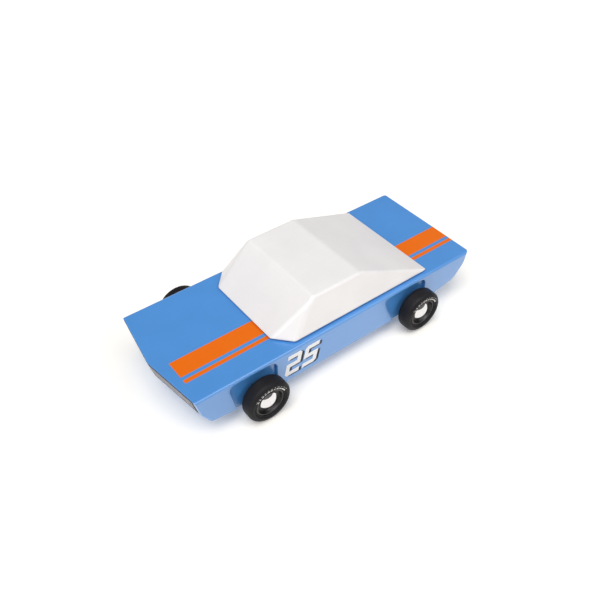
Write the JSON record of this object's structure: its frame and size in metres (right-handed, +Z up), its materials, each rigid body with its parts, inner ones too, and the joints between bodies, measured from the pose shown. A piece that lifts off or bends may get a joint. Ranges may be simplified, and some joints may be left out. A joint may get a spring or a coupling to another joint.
{
  "type": "toy racing car",
  "caption": "Wooden toy racing car: a faceted cabin block on a body block, with rubber-tyred wheels on steel axles that turn freely.",
  "frame": {"origin": "on the ground, under the middle of the car's length and width", "axes": "+X towards the tail (the nose points to -X), +Y towards the car's right side, +Z up"},
  "size_m": [0.1818, 0.0878, 0.0478],
  "materials": {
    "blue_lacquer": "satin sky-blue lacquer over beech, with orange racing stripes",
    "white_lacquer": "satin white lacquer over beech",
    "beech": "raw beech",
    "axle_steel": "bright drawn steel",
    "tyre_rubber": "satin black rubber with pale sidewall marks",
    "hub_plastic": "black moulded plastic",
    "cap_chrome": "chrome-plated plastic dome",
    "washer_nylon": "natural nylon"
  },
  "bodies": {
    "car_body": {"body_block": "blue_lacquer", "cabin_block": "white_lacquer", "cabin_dowel_front": "beech", "cabin_dowel_rear": "beech"},
    "front_wheels": {"axle_front": "axle_steel", "tyre_front_left": "tyre_rubber", "tyre_front_right": "tyre_rubber", "wheel_hub_front_left": "hub_plastic", "wheel_hub_front_right": "hub_plastic", "hub_cap_front_left": "cap_chrome", "hub_cap_front_right": "cap_chrome", "axle_washer_front_left": "washer_nylon", "axle_washer_front_right": "washer_nylon"},
    "rear_wheels": {"axle_rear": "axle_steel", "tyre_rear_left": "tyre_rubber", "tyre_rear_right": "tyre_rubber", "wheel_hub_rear_left": "hub_plastic", "wheel_hub_rear_right": "hub_plastic", "hub_cap_rear_left": "cap_chrome", "hub_cap_rear_right": "cap_chrome", "axle_washer_rear_left": "washer_nylon", "axle_washer_rear_right": "washer_nylon"}
  },
  "joints": [
    {"name": "front_axle_spin", "type": "hinge", "parent": "car_body", "child": "front_wheels", "pos_m": [-0.0514, 0, 0.0121], "axis": [0, 1, 0], "continuous": true},
    {"name": "rear_axle_spin", "type": "hinge", "parent": "car_body", "child": "rear_wheels", "pos_m": [0.0493, 0, 0.0121], "axis": [0, 1, 0], "continuous": true}
  ]
}
